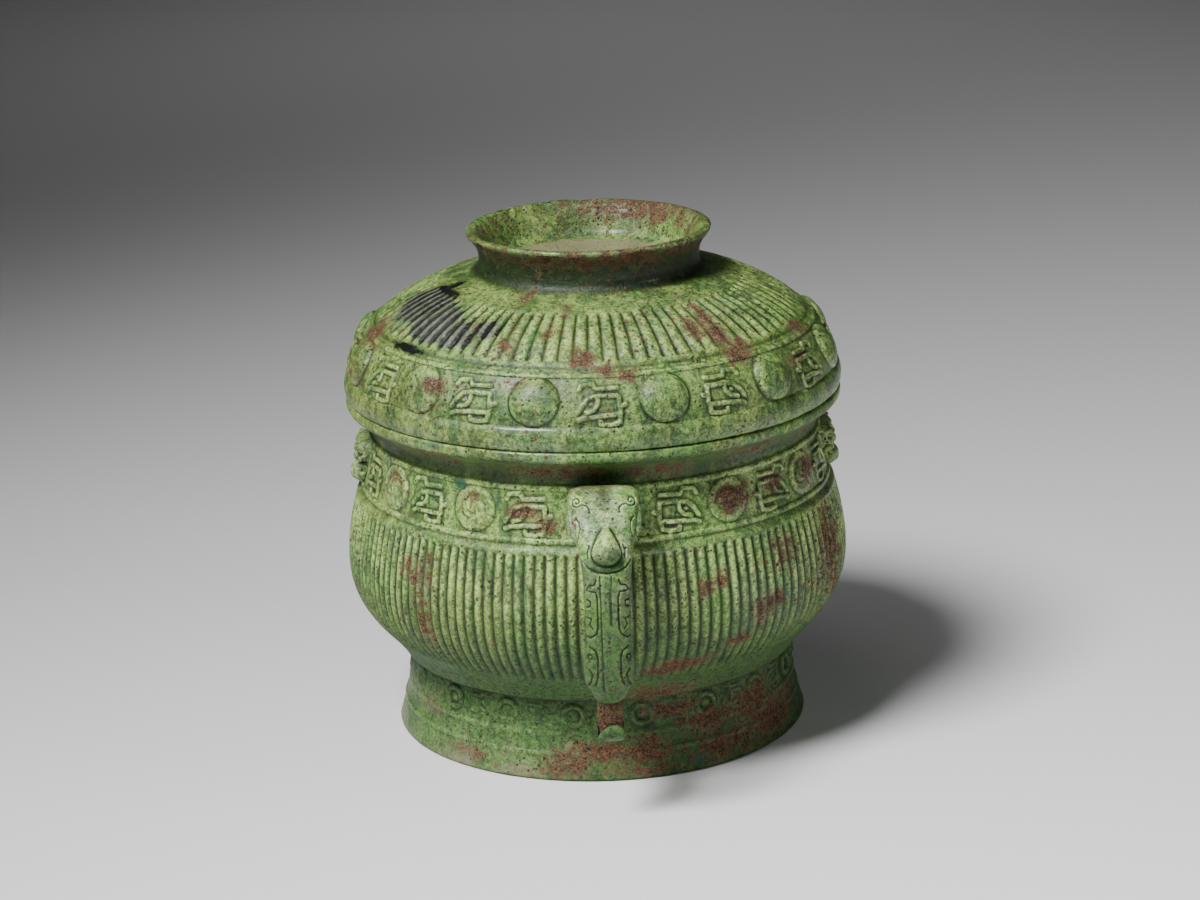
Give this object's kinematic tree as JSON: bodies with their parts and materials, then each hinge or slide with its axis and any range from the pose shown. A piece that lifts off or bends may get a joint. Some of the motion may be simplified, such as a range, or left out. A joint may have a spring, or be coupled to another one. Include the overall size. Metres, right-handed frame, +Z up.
{
  "type": "lidded bronze ritual vessel",
  "caption": "Ribbed bronze bowl on a flared foot with beast-head handles, and a ribbed dome lid with a ring grip that lifts off; belts of dragons and roundels, green patina.",
  "frame": {"origin": "on the floor under the middle of the vessel, at the centre of the foot's underside", "axes": "+Z up along the vessel's axis, Y through the two handles, X through the two beast masks"},
  "size_m": [0.2316, 0.3018, 0.2338],
  "materials": {
    "bowl_bronze": "cast bronze under a matt malachite-green patina with red-brown patches and dark pits",
    "lid_bronze": "cast bronze under a satin malachite-green patina with a worn dark patch and red-brown spots"
  },
  "bodies": {
    "root": {"bowl": "bowl_bronze", "lid": "lid_bronze"}
  },
  "joints": []
}
